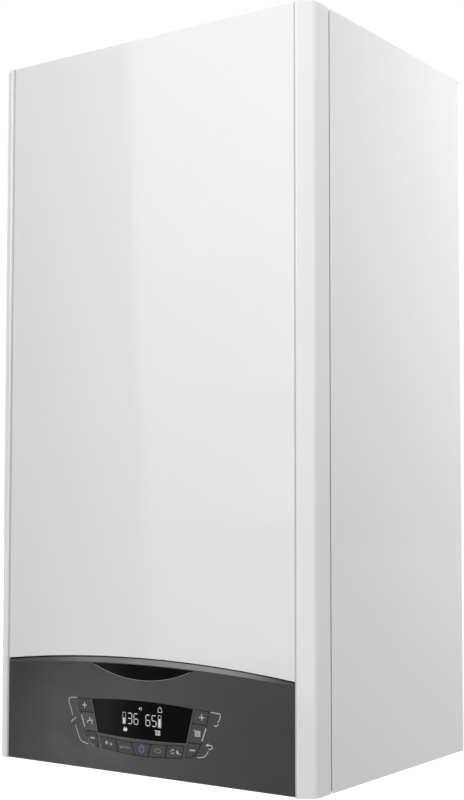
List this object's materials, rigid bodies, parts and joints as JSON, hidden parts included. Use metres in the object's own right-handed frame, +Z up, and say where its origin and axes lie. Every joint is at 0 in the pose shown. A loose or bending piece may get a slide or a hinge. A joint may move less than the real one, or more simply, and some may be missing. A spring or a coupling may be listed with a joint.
{
  "type": "wall-hung condensing boiler",
  "caption": "Wall-hung condensing boiler with a white ridged casing, an arched dark folding control panel, coaxial flue collar and pipe stubs below.",
  "frame": {"origin": "on the wall plane, at the bottom edge of the back plate, half way across", "axes": "+X to the right seen from the front, +Y into the wall, +Z up"},
  "size_m": [0.4, 0.319, 0.8],
  "materials": {
    "white_enamel": "gloss stove enamel",
    "galvanised_steel": "zinc coated sheet, dull",
    "stainless_steel": "satin stainless",
    "cast_aluminium": "die cast, matte",
    "charcoal_plastic": "semi-gloss charcoal grey",
    "black_gloss": "polished black",
    "black_plastic": "fine grain black",
    "grey_plastic": "moulded grey",
    "white_plastic": "flue white",
    "brass": "turned",
    "copper": "drawn copper tube",
    "red_enamel": "red primer on pressed steel",
    "foam": "closed cell foam",
    "circuit_board": "green solder mask",
    "red_plastic": "moulded red",
    "blue_plastic": "moulded blue",
    "ceramic_white": "glazed sleeve",
    "zinc_fasteners": "zinc plated",
    "silicone_lead": "high tension lead",
    "translucent_cup": "milky polypropylene"
  },
  "bodies": {
    "casing": {"air_gas_mixer": "cast_aluminium", "air_silencer": "black_plastic", "back_plate": "galvanised_steel", "bottom_plate": "galvanised_steel", "burner": "stainless_steel", "burner_door": "cast_aluminium", "chamber_floor": "galvanised_steel", "chamber_gasket": "foam", "condensate_hose": "grey_plastic", "condensate_trap": "translucent_cup", "diverter_motor": "black_plastic", "electrodes": "ceramic_white", "exchanger_coil": "stainless_steel", "exchanger_shell": "stainless_steel", "exhaust_pipe": "white_plastic", "expansion_vessel": "red_enamel", "fan_housing": "cast_aluminium", "fan_motor": "black_plastic", "flow_block": "brass", "flow_pipe": "copper", "flow_sensor": "brass", "flue_collar": "white_plastic", "frame_screws": "zinc_fasteners", "gas_pipe": "copper", "gas_valve": "cast_aluminium", "ignition_lead": "silicone_lead", "ignition_transformer": "black_plastic", "plate_exchanger": "stainless_steel", "pump_motor": "cast_aluminium", "return_block": "brass", "return_pipe": "copper", "side_panel_left": "white_enamel", "side_panel_right": "white_enamel", "top_plate": "galvanised_steel", "vessel_pipe": "copper"},
    "front_cover": {"front_cover": "white_enamel", "cover_lining": "foam", "cover_screws": "zinc_fasteners"},
    "chamber_panel": {"chamber_panel": "galvanised_steel"},
    "control_panel": {"control_fascia": "charcoal_plastic", "badge_plate": "black_gloss", "display_lens": "black_gloss", "display_module": "circuit_board", "control_box": "grey_plastic", "main_board": "circuit_board"},
    "fan_impeller": {"fan_impeller": "grey_plastic"},
    "pump_impeller": {"pump_impeller": "grey_plastic"},
    "diverter_stem": {"diverter_stem": "brass"},
    "safety_valve_knob": {"safety_valve_knob": "red_plastic"},
    "filling_tap_knob": {"filling_tap_knob": "blue_plastic"},
    "air_vent_cap": {"air_vent_cap": "black_plastic"},
    "heating_plus_button": {"heating_plus_button": "charcoal_plastic"},
    "heating_minus_button": {"heating_minus_button": "charcoal_plastic"},
    "reset_button": {"reset_button": "charcoal_plastic"},
    "auto_button": {"auto_button": "charcoal_plastic"},
    "power_button": {"power_button": "charcoal_plastic"},
    "comfort_button": {"comfort_button": "charcoal_plastic"},
    "mode_button": {"mode_button": "charcoal_plastic"},
    "hot_water_minus_button": {"hot_water_minus_button": "charcoal_plastic"},
    "hot_water_plus_button": {"hot_water_plus_button": "charcoal_plastic"}
  },
  "joints": [
    {"name": "cover_slide", "type": "slide", "parent": "casing", "child": "front_cover", "axis": [0, -1, 0], "range_m": [0, 0.5]},
    {"name": "chamber_panel_slide", "type": "slide", "parent": "casing", "child": "chamber_panel", "axis": [0, -1, 0], "range_m": [0, 0.25]},
    {"name": "control_panel_fold", "type": "hinge", "parent": "casing", "child": "control_panel", "pos_m": [0, -0.296, 0.008], "axis": [1, 0, 0], "range_deg": [0, 85]},
    {"name": "fan_spin", "type": "hinge", "parent": "casing", "child": "fan_impeller", "pos_m": [0.04, -0.165, 0.355], "axis": [0, 0, 1], "continuous": true},
    {"name": "pump_spin", "type": "hinge", "parent": "casing", "child": "pump_impeller", "pos_m": [0.13, -0.18, 0.062], "axis": [0, -1, 0], "continuous": true},
    {"name": "diverter_slide", "type": "slide", "parent": "casing", "child": "diverter_stem", "axis": [0, 1, 0], "range_m": [0, 0.008]},
    {"name": "safety_valve_turn", "type": "hinge", "parent": "casing", "child": "safety_valve_knob", "pos_m": [0.068, -0.2, 0.078], "axis": [0, -1, 0], "range_deg": [0, 90]},
    {"name": "filling_tap_turn", "type": "hinge", "parent": "casing", "child": "filling_tap_knob", "pos_m": [0.03, -0.15, -0.015], "axis": [0, 0, -1], "range_deg": [0, 270]},
    {"name": "air_vent_turn", "type": "hinge", "parent": "casing", "child": "air_vent_cap", "pos_m": [0.112, -0.14, 0.12], "axis": [0, 0, 1], "range_deg": [0, 270]},
    {"name": "heating_plus_press", "type": "slide", "parent": "control_panel", "child": "heating_plus_button", "axis": [0, 1, 0], "range_m": [0, 0.001], "stiffness_N_per_m": 300, "springref_m": -0.001},
    {"name": "heating_minus_press", "type": "slide", "parent": "control_panel", "child": "heating_minus_button", "axis": [0, 1, 0], "range_m": [0, 0.001], "stiffness_N_per_m": 300, "springref_m": -0.001},
    {"name": "reset_press", "type": "slide", "parent": "control_panel", "child": "reset_button", "axis": [0, 1, 0], "range_m": [0, 0.001], "stiffness_N_per_m": 300, "springref_m": -0.001},
    {"name": "auto_press", "type": "slide", "parent": "control_panel", "child": "auto_button", "axis": [0, 1, 0], "range_m": [0, 0.001], "stiffness_N_per_m": 300, "springref_m": -0.001},
    {"name": "power_press", "type": "slide", "parent": "control_panel", "child": "power_button", "axis": [0, 1, 0], "range_m": [0, 0.001], "stiffness_N_per_m": 300, "springref_m": -0.001},
    {"name": "comfort_press", "type": "slide", "parent": "control_panel", "child": "comfort_button", "axis": [0, 1, 0], "range_m": [0, 0.001], "stiffness_N_per_m": 300, "springref_m": -0.001},
    {"name": "mode_press", "type": "slide", "parent": "control_panel", "child": "mode_button", "axis": [0, 1, 0], "range_m": [0, 0.001], "stiffness_N_per_m": 300, "springref_m": -0.001},
    {"name": "hot_water_minus_press", "type": "slide", "parent": "control_panel", "child": "hot_water_minus_button", "axis": [0, 1, 0], "range_m": [0, 0.001], "stiffness_N_per_m": 300, "springref_m": -0.001},
    {"name": "hot_water_plus_press", "type": "slide", "parent": "control_panel", "child": "hot_water_plus_button", "axis": [0, 1, 0], "range_m": [0, 0.001], "stiffness_N_per_m": 300, "springref_m": -0.001}
  ],
  "couplings": [
    {"joint": "chamber_panel_slide", "follows": "cover_slide", "ratio": 0.5}
  ]
}
